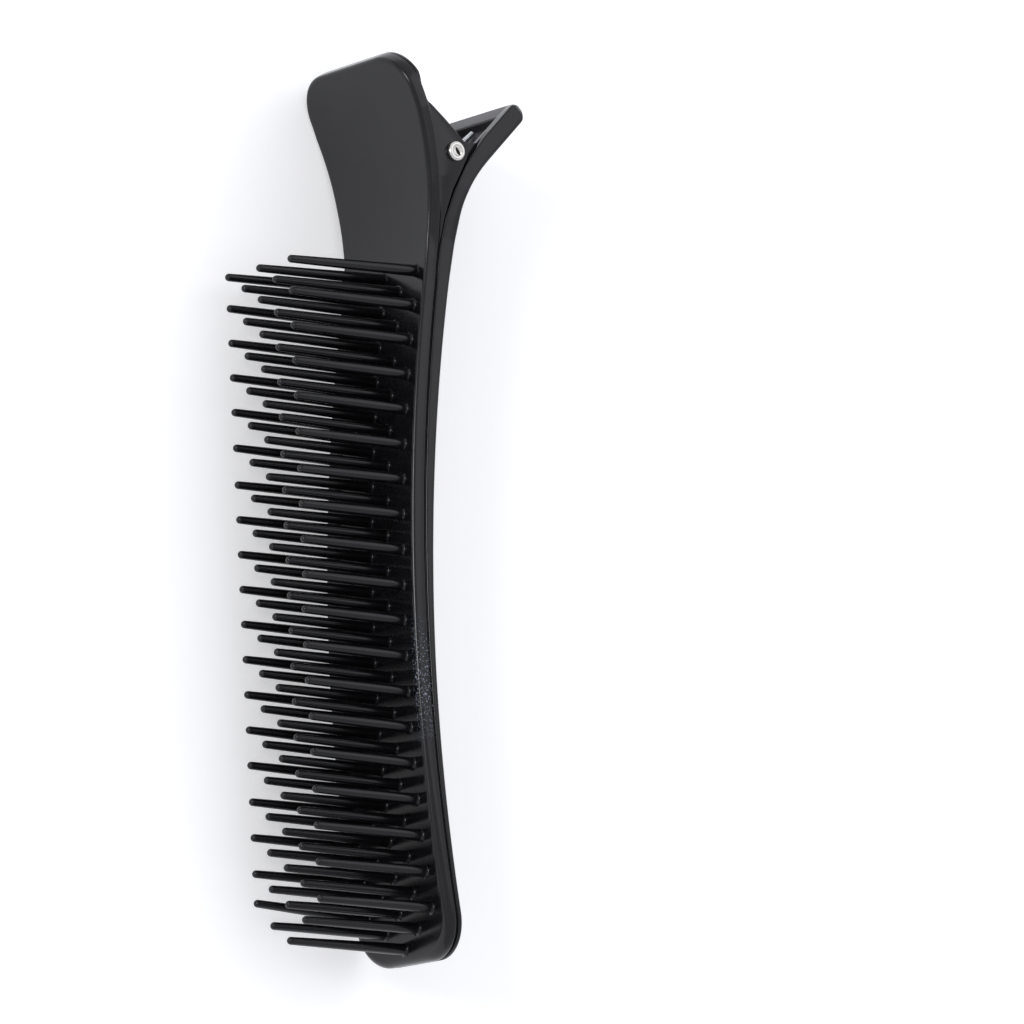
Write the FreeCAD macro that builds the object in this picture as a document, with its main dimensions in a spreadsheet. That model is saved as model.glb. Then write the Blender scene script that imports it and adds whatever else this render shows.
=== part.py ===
import FreeCAD, Part
import math
import os
import Sketcher

# Sectioning clip: a front jaw with a thumb paddle and five columns of long pins, a rear jaw
# with a short lever, a hollow rivet for the hinge and a torsion spring coiled on it.
# All sketches share one working frame: the hinge axis is Z through the origin, +X runs to the
# jaw tip, -Y is the way the pins point, and the clip is symmetric about Z = 0.

SIZES = [
    # alias, millimetres or degrees
    ("face_paddle_radius", 51.85),       # thumb paddle, dished towards the pins
    ("face_paddle_centre_x", 12.2),
    ("face_paddle_centre_y", -56.83),
    ("face_jaw_radius", 300.2),         # front jaw, bowed towards the pins
    ("face_jaw_centre_x", 65.65),
    ("face_jaw_centre_y", 291.2),
    ("plate_thickness", 1.6),
    ("plate_edge_depth", 2.2),
    ("flange_depth", 2.9),
    ("seam_radius", 319.9),             # line along which the two jaws meet
    ("seam_centre_x", 66.0),
    ("seam_centre_y", 313.5),
    ("seam_gap", 0.12),
    ("back_radius", 305.3),             # outer back of the rear jaw
    ("back_centre_x", 72.45),
    ("back_centre_y", 300.4),
    ("paddle_end_x", -13.05),
    ("jaw_end_x", 123.4),
    ("floor_thickness", 0.9),
    ("lever_floor_thickness", 1.8),
    ("lever_thickness", 3.15),
    ("lever_angle", 43.75),
    ("lever_bend_radius", 21.2),
    ("lever_bend_start_x", 10.2),
    ("lever_length", 9.1),
    ("paddle_half_width", 13.7),
    ("ear_half_width", 11.85),
    ("neck_half_width", 11.0),
    ("tip_half_width", 12.1),
    ("lever_half_width", 11.9),
    ("side_step", 0.15),                # flange set back from the plate's edge
    ("front_ear_inner", 10.9),
    ("rear_ear_outer", 10.75),
    ("cavity_half_width", 9.7),
    ("paddle_corner", 5.2),
    ("tip_corner", 6.5),
    ("lever_corner", 1.5),
    ("ear_radius", 2.3),
    ("rear_ear_radius", 1.9),
    ("ear_blend", 4.0),
    ("pin_hole_radius", 1.05),
    ("rivet_radius", 1.0),
    ("rivet_head_radius", 1.6),
    ("rivet_head_height", 0.75),
    ("rivet_hole_radius", 0.5),
    ("rivet_hole_depth", 3.0),
    ("wire_radius", 0.45),
    ("knee_swell", 0.03),               # the wire thickens a little where it is bent
    ("coil_radius", 1.95),
    ("coil_pitch", 1.15),
    ("coil_turns", 7.28),
    ("pin_columns", 5.0),
    ("column_pitch", 4.16),
    ("row_pitch", 5.42),
    ("first_row_x", 18.53),
    ("pin_rows", 19.0),
    ("pin_root_radius", 0.90),
    ("pin_tip_radius", 0.60),
    ("pin_socket_depth", 1.0),
    ("pin_tip_line_y", -28.95),          # where the tips' line passes over the first row
    ("pin_tip_line_slope", 0.037),
]

doc = FreeCAD.newDocument("sectioning_clip")
sheet = doc.addObject("Spreadsheet::Sheet", "Sizes")
for row, (alias, number) in enumerate(SIZES, start=1):
    sheet.set(f"A{row}", alias)
    sheet.set(f"B{row}", str(number))
    sheet.setAlias(f"B{row}", alias)
doc.recompute()


def size(alias):
    return float(sheet.get(alias))


def arc_y(curve, x, side, offset=0.0):
    """Height of a named arc at x: its centre plus (side = 1) or minus (side = -1) the chord."""
    reach = size(curve + "_radius") + offset
    run = x - size(curve + "_centre_x")
    return size(curve + "_centre_y") + side * math.sqrt(reach * reach - run * run)


def radial(curve, x, side, offset):
    """The point on a named arc above x, moved outwards along its radius by offset."""
    y = arc_y(curve, x, side)
    reach = size(curve + "_radius")
    away_x = (x - size(curve + "_centre_x")) / reach
    away_y = (y - size(curve + "_centre_y")) / reach
    return (x + offset * away_x, y + offset * away_y)


def new_sketch(body, name, plane):
    sketch = body.newObject("Sketcher::SketchObject", name)
    for feature in body.Origin.OriginFeatures:
        if feature.Role == plane:
            sketch.AttachmentSupport = [(feature, "")]
    sketch.MapMode = "FlatFace"
    return sketch


def bind(sketch, constraint, name, expression):
    index = sketch.addConstraint(constraint)
    sketch.renameConstraint(index, name)
    sketch.setExpression(f"Constraints.{name}", expression)


def trace(sketch, corners):
    """Closed outline. Each corner is (x, y, bend): bend None draws a line to the next corner,
    (radius expression, radius, side) an arc whose centre is left (1) or right (-1) of the way."""
    count = len(corners)
    starts = []
    for index, (x, y, bend) in enumerate(corners):
        next_x, next_y, _ = corners[(index + 1) % count]
        here = FreeCAD.Vector(x, y, 0)
        there = FreeCAD.Vector(next_x, next_y, 0)
        if bend is None:
            sketch.addGeometry(Part.LineSegment(here, there), False)
            starts.append((1, 2))
            continue
        expression, radius, side = bend
        chord = there - here
        left = FreeCAD.Vector(-chord.y, chord.x, 0).normalize()
        rise = math.sqrt(max(radius * radius - chord.Length * chord.Length / 4, 0))
        centre = (here + there) * 0.5 + left * (side * rise)
        first, last = (here, there) if side > 0 else (there, here)
        angles = [math.atan2(p.y - centre.y, p.x - centre.x) for p in (first, last)]
        circle = Part.Circle(centre, FreeCAD.Vector(0, 0, 1), radius)
        sketch.addGeometry(Part.ArcOfCircle(circle, angles[0], angles[1]), False)
        starts.append((1, 2) if side > 0 else (2, 1))
    for index in range(count):
        after = (index + 1) % count
        sketch.addConstraint(Sketcher.Constraint(
            "Coincident", index, starts[index][1], after, starts[after][0]))
    for index, (x, y, bend) in enumerate(corners):
        sketch.addConstraint(Sketcher.Constraint("DistanceX", -1, 1, index, starts[index][0], x))
        sketch.addConstraint(Sketcher.Constraint("DistanceY", -1, 1, index, starts[index][0], y))
        if bend is not None:
            bind(sketch, Sketcher.Constraint("Radius", index, bend[1]), f"bend_{index}", bend[0])


def arc(alias, side, offset=0.0):
    """The bend of a corner whose radius is a cell, or a cell plus an offset."""
    text = f"Sizes.{alias}"
    if offset:
        text += f" + ({offset})"
    return (text, size(alias) + offset, side)


def fixed_arc(radius, side):
    return (str(radius), radius, side)


def pad(body, sketch, name, expression):
    feature = body.newObject("PartDesign::Pad", name)
    feature.Profile = sketch
    feature.SideType = "Symmetric"
    feature.setExpression("Length", expression)
    doc.recompute()
    return feature


def pocket(body, sketch, name, expression):
    before = body.Shape.Volume
    feature = body.newObject("PartDesign::Pocket", name)
    feature.Profile = sketch
    feature.SideType = "Symmetric"
    feature.setExpression("Length", expression)
    doc.recompute()
    if feature.Shape.isNull() or feature.Shape.Volume > before - 0.01:
        raise RuntimeError(name + " cut nothing")
    return feature


def trim_to_plan(body, name, corners):
    """Cuts away what lies outside an outline seen along Y, given for +Z and mirrored to -Z."""
    whole = list(corners)
    for index in range(len(corners) - 1, -1, -1):
        x, z, _ = corners[index]
        bend = corners[index - 1][2] if index else None
        whole.append((x, -z, bend))
    sketch = new_sketch(body, name + "_sketch", "XZ_Plane")
    trace(sketch, whole)
    reach = 200.0
    frame = [(-reach, -reach), (reach, -reach), (reach, reach), (-reach, reach)]
    for index, (x, y) in enumerate(frame):
        next_x, next_y = frame[(index + 1) % len(frame)]
        sketch.addGeometry(Part.LineSegment(
            FreeCAD.Vector(x, y, 0), FreeCAD.Vector(next_x, next_y, 0)), False)
    return pocket(body, sketch, name, "400 mm")


# Plan outlines, as corners (x, half width, bend). The neck is the narrowest stretch.
neck_x, shoulder_x, straight_end_x, outline_end_x = 20.0, 14.0, 117.6, 124.8


def plan(top_x, top_half, corner, corner_alias, shoulder, inset):
    """Plan of one jaw: a top edge with round corners, a neck, and a wide rounded jaw end."""
    tip_z = size("tip_half_width") - inset
    return [
        (top_x, top_half - corner, arc(corner_alias, -1)),
        (top_x + corner, top_half, None),
    ] + shoulder + [
        (shoulder_x, size("neck_half_width") + 0.1 - inset, None),
        (neck_x, size("neck_half_width") - inset, None),
        (straight_end_x, tip_z, arc("tip_corner", -1)),
        (outline_end_x, tip_z - size("tip_corner"), None),
    ]


# Side profile of the front jaw: face line, jaw end, seam, ear and the paddle's back.
face_join_x, face_join_y = 19.5, -5.48
paddle_end = (size("paddle_end_x"), arc_y("face_paddle", size("paddle_end_x"), 1))
paddle_back_end = radial("face_paddle", size("paddle_end_x"), 1, size("flange_depth"))
face_end = (size("jaw_end_x"), arc_y("face_jaw", size("jaw_end_x"), -1))
front_seam = size("seam_gap") / 2
seam_start_x = 16.0
front_seam_end = (size("jaw_end_x"), arc_y("seam", size("jaw_end_x"), -1, front_seam))
front_seam_start = (seam_start_x, arc_y("seam", seam_start_x, -1, front_seam))
ear_back_foot = (10.95, -2.85)
ear_back_top = (1.03, 2.055)
ear_front_top = (-1.75, 1.49)
ear_front_foot = (-5.3, -2.68)
flange_rise = (-6.6, arc_y("face_paddle", -6.6, 1, size("flange_depth")))
end_round, tip_round = 1.15, 1.5

face_corners = [
    (*paddle_end, arc("face_paddle_radius", -1)),
    (face_join_x, face_join_y, arc("face_jaw_radius", 1)),
]
flange_corners = face_corners + [
    (*face_end, fixed_arc(end_round, 1)),
    (*front_seam_end, arc("seam_radius", -1, front_seam)),
    (*front_seam_start, None),
    (*ear_back_foot, None),
    (*ear_back_top, arc("ear_radius", 1)),
    (*ear_front_top, None),
    (*ear_front_foot, arc("ear_blend", -1)),
    (*flange_rise, arc("face_paddle_radius", 1, size("flange_depth"))),
    (*paddle_back_end, fixed_arc(tip_round, 1)),
]

front_body = doc.addObject("PartDesign::Body", "FrontJawMoulding")
flange_sketch = new_sketch(front_body, "FlangeProfile", "XY_Plane")
trace(flange_sketch, flange_corners)
pad(front_body, flange_sketch, "Flanges", "2 * Sizes.paddle_half_width")
trim_to_plan(front_body, "FlangePlan", plan(
    -16.0, size("paddle_half_width") - 0.1, size("paddle_corner"), "paddle_corner",
    [(-6.5, size("paddle_half_width") - 0.1, None), (-4.3, size("ear_half_width"), None),
     (4.5, size("ear_half_width"), None)], size("side_step")))

# The plate is a little wider than the flanges, so its edge stands proud of them.
plate_back = size("plate_thickness")
edge_back = size("plate_edge_depth")
plate_join = (face_join_x - 0.25, face_join_y + 1.58)
plate_corners = face_corners + [
    (*face_end, None),
    (face_end[0], face_end[1] + edge_back, arc("face_jaw_radius", -1, -edge_back)),
    (face_join_x - 0.35, face_join_y + edge_back - 0.03, arc("face_paddle_radius", 1, edge_back)),
    (*radial("face_paddle", size("paddle_end_x"), 1, edge_back), None),
]
plate_sketch = new_sketch(front_body, "PlateProfile", "XY_Plane")
trace(plate_sketch, plate_corners)
pad(front_body, plate_sketch, "Plate", "2 * Sizes.paddle_half_width")
trim_to_plan(front_body, "PlatePlan", plan(
    -16.0, size("paddle_half_width"), size("paddle_corner"), "paddle_corner",
    [(-5.6, size("paddle_half_width"), None), (0.8, 12.95, None), (5.7, 12.35, None),
     (9.75, 11.7, None)], 0.0))

# Hollow behind the plate: wide between the ears, narrower along the jaw.
cavity_top_x, cavity_step_x, cavity_end_x, far_y = -11.8, 9.5, 121.6, 8.0
ear_cavity_sketch = new_sketch(front_body, "EarCavityProfile", "XY_Plane")
trace(ear_cavity_sketch, [
    (*radial("face_paddle", cavity_top_x, 1, plate_back), arc("face_paddle_radius", -1, plate_back)),
    (*radial("face_paddle", cavity_step_x, 1, plate_back), None),
    (cavity_step_x, far_y, None),
    (cavity_top_x, far_y, None),
])
pocket(front_body, ear_cavity_sketch, "EarCavity", "2 * Sizes.front_ear_inner")
jaw_cavity_sketch = new_sketch(front_body, "JawCavityProfile", "XY_Plane")
trace(jaw_cavity_sketch, [
    (cavity_step_x - 0.5, arc_y("face_paddle", cavity_step_x - 0.5, 1, plate_back),
     arc("face_paddle_radius", -1, plate_back)),
    (*plate_join, arc("face_jaw_radius", 1, -plate_back)),
    (cavity_end_x, arc_y("face_jaw", cavity_end_x, -1, -plate_back), None),
    (cavity_end_x, far_y, None),
    (cavity_step_x - 0.5, far_y, None),
])
pocket(front_body, jaw_cavity_sketch, "JawCavity", "2 * Sizes.cavity_half_width")


def pin_hole(body):
    sketch = new_sketch(body, "PinHoleProfile", "XY_Plane")
    sketch.addGeometry(Part.Circle(
        FreeCAD.Vector(0, 0, 0), FreeCAD.Vector(0, 0, 1), size("pin_hole_radius")), False)
    sketch.addConstraint(Sketcher.Constraint("Coincident", 0, 3, -1, 1))
    bind(sketch, Sketcher.Constraint("Radius", 0, size("pin_hole_radius")), "hole",
         "Sizes.pin_hole_radius")
    pocket(body, sketch, "PinHole", "4 * Sizes.paddle_half_width")


pin_hole(front_body)

# Rear jaw: back line, bend and lever, then the rim and the front edge that clears the ears.
rear_body = doc.addObject("PartDesign::Body", "RearJawMoulding")
lever = math.radians(size("lever_angle"))
along = (-math.cos(lever), math.sin(lever))
outward = (math.sin(lever), math.cos(lever))
bend_start = (size("lever_bend_start_x"), arc_y("back", size("lever_bend_start_x"), -1))
bend_end = (0.1, 7.1)
lever_back_end = tuple(bend_end[k] + size("lever_length") * along[k] for k in (0, 1))
lever_rim_end = tuple(lever_back_end[k] - size("lever_thickness") * outward[k] for k in (0, 1))
rim_length = 8.6
rim_foot = tuple(lever_rim_end[k] - rim_length * along[k] for k in (0, 1))
rear_seam = -front_seam
rear_seam_start = (seam_start_x, arc_y("seam", seam_start_x, -1, rear_seam))
rear_end_x = size("jaw_end_x") - 0.5
rear_seam_end = (rear_end_x, arc_y("seam", rear_end_x, -1, rear_seam))
back_end = (rear_end_x, arc_y("back", rear_end_x, -1))
lever_round, rear_end_round = 1.7, 0.75

rear_sketch = new_sketch(rear_body, "RearProfile", "XY_Plane")
trace(rear_sketch, [
    (*rim_foot, None),
    (1.7, 2.2, None),
    (6.4, -0.05, None),
    (11.25, -2.31, None),
    (*rear_seam_start, arc("seam_radius", 1, rear_seam)),
    (*rear_seam_end, fixed_arc(rear_end_round, 1)),
    (*back_end, arc("back_radius", -1)),
    (*bend_start, arc("lever_bend_radius", -1)),
    (*bend_end, None),
    (*lever_back_end, fixed_arc(lever_round, 1)),
    (*lever_rim_end, None),
])
pad(rear_body, rear_sketch, "RearShell", "2 * Sizes.paddle_half_width")
trim_to_plan(rear_body, "RearPlan", plan(
    -10.1, size("lever_half_width"), size("lever_corner"), "lever_corner",
    [(6.0, size("lever_half_width"), None)], size("side_step")))

# Inner ears, which reach between the front jaw's ears and carry the hinge.
ear_sketch = new_sketch(rear_body, "RearEarProfile", "XY_Plane")
trace(ear_sketch, [
    (-2.0, 6.0, None),
    (-1.86, 0.4, arc("rear_ear_radius", 1)),
    (0.5, -1.83, None),
    (8.5, -1.6, None),
    (8.5, 0.3, None),
    (2.0, 4.2, None),
])
pad(rear_body, ear_sketch, "RearEars", "2 * Sizes.rear_ear_outer")

# The tray inside the lever and jaw: a thin floor between two side ribs and two end bars.
floor = size("floor_thickness")
lever_floor = size("lever_floor_thickness")
tray_reach, tray_depth = 6.3, 7.0
tray_top_floor = tuple(
    bend_end[k] + tray_reach * along[k] - lever_floor * outward[k] for k in (0, 1))
tray_top_rim = tuple(tray_top_floor[k] - tray_depth * outward[k] for k in (0, 1))
bend_end_floor = tuple(bend_end[k] - lever_floor * outward[k] for k in (0, 1))
bend_start_floor = radial("back", size("lever_bend_start_x"), -1, floor)
rear_end_inner_x = cavity_end_x - 0.6
tray_sketch = new_sketch(rear_body, "TrayProfile", "XY_Plane")
trace(tray_sketch, [
    (*tray_top_floor, None),
    (*tray_top_rim, None),
    (-8.0, -8.0, None),
    (rear_end_inner_x, -9.5, None),
    (rear_end_inner_x, arc_y("back", rear_end_inner_x, -1, floor), arc("back_radius", -1, floor)),
    (*bend_start_floor, fixed_arc(24.0, -1)),
    (*bend_end_floor, None),
])
pocket(rear_body, tray_sketch, "Tray", "2 * Sizes.cavity_half_width")
pin_hole(rear_body)

# Hollow rivet, turned about the hinge axis: domed head below, rolled head with a hole above.
rivet_body = doc.addObject("PartDesign::Body", "Rivet")
rivet_sketch = new_sketch(rivet_body, "RivetProfile", "XZ_Plane")
shank, head = size("rivet_radius"), size("rivet_head_radius")
seat_z = size("ear_half_width") + 0.02
head_z = seat_z + size("rivet_head_height")
hole = size("rivet_hole_radius")
hole_z = head_z - size("rivet_hole_depth")
crown_z, lip = 0.3, 0.35
trace(rivet_sketch, [
    (0.0001, -head_z, fixed_arc(2.6, 1)),
    (head, -seat_z - crown_z, None),
    (head, -seat_z, None),
    (shank, -seat_z, None),
    (shank, seat_z, None),
    (head, seat_z, None),
    (head, head_z - lip, fixed_arc(lip, 1)),
    (head - lip, head_z, None),
    (hole, head_z, None),
    (hole, hole_z, None),
    (0.0001, hole_z, None),
])
rivet_turn = rivet_body.newObject("PartDesign::Revolution", "RivetTurn")
rivet_turn.Profile = rivet_sketch
rivet_turn.ReferenceAxis = (rivet_sketch, ["V_Axis"])
rivet_turn.Angle = 360
doc.recompute()

# Torsion spring: an open coil round the rivet. Each leg leaves the coil along its tangent and
# touches its jaw only at the far end, one on the paddle's back and one on the lever's floor.
coil = size("coil_radius")
lever_leg_end = (-5.2, 8.95)
paddle_leg_end = (-9.8, -7.5)


def tangent_angle(end, side):
    """Direction, from the hinge, of the point where a wire ending at end leaves the coil."""
    lean = math.acos(coil / math.hypot(*end))
    return math.atan2(end[1], end[0]) + side * lean


start_angle = tangent_angle(paddle_leg_end, 1)
finish_angle = tangent_angle(lever_leg_end, -1)
whole_turns = 7
turn = (finish_angle - start_angle) % (2 * math.pi) / (2 * math.pi)
coil_turns_row = 1 + [alias for alias, _ in SIZES].index("coil_turns")
sheet.set(f"B{coil_turns_row}", str(whole_turns + turn))
doc.recompute()
half_coil = size("coil_pitch") * size("coil_turns") / 2

helix = doc.addObject("Part::Helix", "CoilPath")
helix.setExpression("Radius", "Sizes.coil_radius")
helix.setExpression("Pitch", "Sizes.coil_pitch")
helix.setExpression("Height", "Sizes.coil_pitch * Sizes.coil_turns")
helix.Placement = FreeCAD.Placement(
    FreeCAD.Vector(0, 0, -half_coil),
    FreeCAD.Rotation(FreeCAD.Vector(0, 0, 1), math.degrees(start_angle)))
section = doc.addObject("Part::Circle", "WireSection")
section.setExpression("Radius", "Sizes.wire_radius")
knee_point = {
    "PaddleLeg": FreeCAD.Vector(
        coil * math.cos(start_angle), coil * math.sin(start_angle), -half_coil),
    "LeverLeg": FreeCAD.Vector(
        coil * math.cos(finish_angle), coil * math.sin(finish_angle), half_coil),
}
tangent = FreeCAD.Vector(-math.sin(start_angle), math.cos(start_angle), 0)
section.Placement = FreeCAD.Placement(
    knee_point["PaddleLeg"], FreeCAD.Rotation(FreeCAD.Vector(0, 0, 1), tangent))
turns = doc.addObject("Part::Sweep", "CoilTurns")
turns.Spine = (helix, [])
turns.Sections = [section]
turns.Solid = True
turns.Frenet = True
spring_parts = [turns]
for name, end in (("PaddleLeg", paddle_leg_end), ("LeverLeg", lever_leg_end)):
    start = knee_point[name]
    reach = FreeCAD.Vector(end[0], end[1], start.z) - start
    rod = doc.addObject("Part::Cylinder", name)
    rod.setExpression("Radius", "Sizes.wire_radius")
    rod.Height = reach.Length
    rod.Placement = FreeCAD.Placement(start, FreeCAD.Rotation(FreeCAD.Vector(0, 0, 1), reach))
    knee = doc.addObject("Part::Sphere", name + "Knee")
    knee.setExpression("Radius", "Sizes.wire_radius + Sizes.knee_swell")
    knee.Placement.Base = start
    spring_parts += [rod, knee]
spring = doc.addObject("Part::MultiFuse", "SpringWire")
spring.Shapes = spring_parts
doc.recompute()

# Pins: straight tapered rods with round tips, set in sockets square to the clip's width. Odd
# columns start on the first row and even ones half a row later; the middle one has one more.
column_names = ["a", "b", "c", "d", "e"]
columns = []
all_rods = []
for column in range(int(size("pin_columns"))):
    middle = (int(size("pin_columns")) - 1) / 2
    across = f"({column - middle} * Sizes.column_pitch)"
    rods = []
    for row in range(int(size("pin_rows")) + (1 if column == middle else 0)):
        step = row + 0.5 * (column % 2)
        x_text = f"(Sizes.first_row_x + {step} * Sizes.row_pitch)"
        tip_text = (f"(Sizes.pin_tip_line_y + Sizes.pin_tip_line_slope * {step} * Sizes.row_pitch"
                    " + Sizes.pin_tip_radius)")
        root_text = (f"(Sizes.face_jaw_centre_y - sqrt(Sizes.face_jaw_radius ^ 2"
                     f" - ({x_text} - Sizes.face_jaw_centre_x) ^ 2) + Sizes.pin_socket_depth)")
        label = f"{column_names[column]}{row + 1}"
        shaft = doc.addObject("Part::Cone", "Shaft_" + label)
        shaft.setExpression("Radius1", "Sizes.pin_root_radius")
        shaft.setExpression("Radius2", "Sizes.pin_tip_radius")
        shaft.setExpression("Height", f"{root_text} - {tip_text}")
        shaft.Placement.Rotation = FreeCAD.Rotation(FreeCAD.Vector(1, 0, 0), 90)
        shaft.setExpression("Placement.Base.x", x_text)
        shaft.setExpression("Placement.Base.y", root_text)
        shaft.setExpression("Placement.Base.z", across)
        point = doc.addObject("Part::Sphere", "Point_" + label)
        point.setExpression("Radius", "Sizes.pin_tip_radius")
        point.setExpression("Placement.Base.x", x_text)
        point.setExpression("Placement.Base.y", tip_text)
        point.setExpression("Placement.Base.z", across)
        rod = doc.addObject("Part::Fuse", "Pin_" + label)
        rod.Base = shaft
        rod.Tool = point
        rods.append(rod)
    group = doc.addObject("Part::Compound", "Column_" + column_names[column])
    group.Links = rods
    columns.append(group)
    all_rods += rods
doc.recompute()

sockets = doc.addObject("Part::Compound", "Sockets")
sockets.Links = all_rods
front_jaw = doc.addObject("Part::Cut", "FrontJaw")
front_jaw.Base = front_body
front_jaw.Tool = sockets
doc.recompute()

SUBPARTS = {
    "front_jaw": front_jaw,
    "rear_jaw": rear_body,
    "hinge_rivet": rivet_body,
    "torsion_spring": spring,
}
for name, group in zip(column_names, columns):
    SUBPARTS["bristle_column_" + name] = group

# The clip lies on its side: the origin goes to the middle of its footprint.
box = FreeCAD.BoundBox()
for item in SUBPARTS.values():
    box.add(item.Shape.BoundBox)
shift = FreeCAD.Vector(-box.Center.x, -box.Center.y, -box.ZMin)
os.makedirs("parts", exist_ok=True)
for label, item in SUBPARTS.items():
    item.Label = label
    item.Placement = FreeCAD.Placement(shift, item.Placement.Rotation)
doc.recompute()
for item in doc.Objects:
    if "Invalid" in item.State or "Error" in item.State:
        raise RuntimeError(item.Name + " failed: " + str(item.State))
for label, item in SUBPARTS.items():
    if item.Shape.isNull() or not item.Shape.isValid():
        raise RuntimeError(label + " has no valid shape")
    item.Shape.exportStep(f"parts/{label}.step")
    print(label, "solids", len(item.Shape.Solids), "volume", round(item.Shape.Volume, 2))
print("hinge axis at", [round(v, 4) for v in shift], "box", box)
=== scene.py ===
import math

import bpy
import numpy as np
from mathutils import Matrix, Vector


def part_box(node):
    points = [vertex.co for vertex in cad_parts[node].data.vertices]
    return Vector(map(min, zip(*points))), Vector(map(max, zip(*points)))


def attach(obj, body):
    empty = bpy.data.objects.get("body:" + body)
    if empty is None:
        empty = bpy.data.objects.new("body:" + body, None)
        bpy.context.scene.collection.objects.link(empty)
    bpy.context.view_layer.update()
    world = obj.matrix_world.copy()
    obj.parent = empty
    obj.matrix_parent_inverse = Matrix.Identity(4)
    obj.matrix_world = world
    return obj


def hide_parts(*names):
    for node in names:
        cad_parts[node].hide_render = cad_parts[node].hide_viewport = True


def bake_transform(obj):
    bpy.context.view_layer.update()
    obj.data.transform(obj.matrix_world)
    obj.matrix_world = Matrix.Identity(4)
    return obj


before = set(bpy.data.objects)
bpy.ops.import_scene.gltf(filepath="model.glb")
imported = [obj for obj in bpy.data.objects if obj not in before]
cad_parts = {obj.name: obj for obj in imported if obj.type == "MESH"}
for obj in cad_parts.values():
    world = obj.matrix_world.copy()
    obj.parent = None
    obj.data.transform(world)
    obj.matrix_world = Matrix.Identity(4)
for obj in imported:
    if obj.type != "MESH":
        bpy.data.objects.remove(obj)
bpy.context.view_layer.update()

# Camera: a long lens above the clip, turned so that the clip's length runs down the frame.
# Places are given from the hinge axis, in millimetres, and moved to the frame by `hinge`.
MM = 0.001
rivet_low, rivet_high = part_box("hinge_rivet")
hinge = np.array((rivet_low + rivet_high) / 2) / MM
camera_place = np.array([263.75, -715.40, 991.52])
toward = np.array([0.1691, -0.5724, 0.8024])
rightward = np.array([0.0168, 0.8156, 0.5783])
AIM_RIGHT = 0.0171182                  # tangent of how far the lens looks to its right
sight = Vector(-toward + AIM_RIGHT * rightward).normalized()
down = Vector((0.9855, 0.0843, -0.1475))
side = down.cross(sight).normalized()
up = side.cross(sight).normalized()
camera_data = bpy.data.cameras.new("camera")
camera_data.lens, camera_data.sensor_width = 285.5, 36.0
camera_data.clip_start, camera_data.clip_end = 0.05, 20.0
camera = bpy.data.objects.new("camera", camera_data)
bpy.context.collection.objects.link(camera)
camera.matrix_world = Matrix.Translation(Vector((camera_place + hinge) * MM)) @ Matrix(
    (side, up, -sight)).transposed().to_4x4()
bpy.context.scene.camera = camera


# ---------------------------------------------------------------- front jaw moulding
# One injection moulding of black nylon: a dished thumb paddle, two ears for the hinge and a
# long bowed plate with a shallow skirt, hollow behind. Every outer edge is rounded.


def polyline(x, y):
    """Points, unit normals to the left of the way, and running length of a line of points."""
    points = np.stack([x, y], 1)
    run = np.concatenate([[0.0], np.cumsum(np.hypot(*np.diff(points, axis=0).T))])
    way = np.gradient(points, run, axis=0)
    way /= np.hypot(way[:, 0], way[:, 1])[:, None]
    return points, np.stack([-way[:, 1], way[:, 0]], 1), run


def arc_height(centre, radius, lift, x):
    """Height of a circle's upper (lift 1) or lower (lift -1) half over x."""
    return centre[1] + lift * np.sqrt(np.maximum(radius ** 2 - (x - centre[0]) ** 2, 0))


def ray_depth(points, normals, profile):
    """For each point, how far its normal runs to the first crossing with a line of points."""
    a, b = profile[:-1], profile[1:]
    edge = b - a
    cross = normals[:, None, 0] * edge[None, :, 1] - normals[:, None, 1] * edge[None, :, 0]
    cross = np.where(np.abs(cross) < 1e-9, 1e-9, cross)
    gap = a[None] - points[:, None]
    far = (gap[..., 0] * edge[None, :, 1] - gap[..., 1] * edge[None, :, 0]) / cross
    share = (gap[..., 0] * normals[:, None, 1] - gap[..., 1] * normals[:, None, 0]) / cross
    hit = (far > 0) & (share >= -1e-6) & (share <= 1 + 1e-6)
    depth = np.where(hit, far, np.inf).min(1)
    good = np.isfinite(depth)
    return np.interp(np.arange(len(depth)), np.flatnonzero(good), depth[good])


# How finely an outline is cut: points on an end edge, on each corner and along the far side, and
# the steps in millimetres along the near side, fine where the ears rise.
EDGE_POINTS, CORNER_POINTS, FAR_CORNER_POINTS, FAR_SIDE_POINTS = 14, 14, 18, 90
FINE_STEP, COARSE_STEP = 0.22, 0.6
CORNER_GAP = 0.4                       # the fine steps start this far past the corner
ARCH_REACH = 3.0                       # an arched end takes in this much of the length


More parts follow.
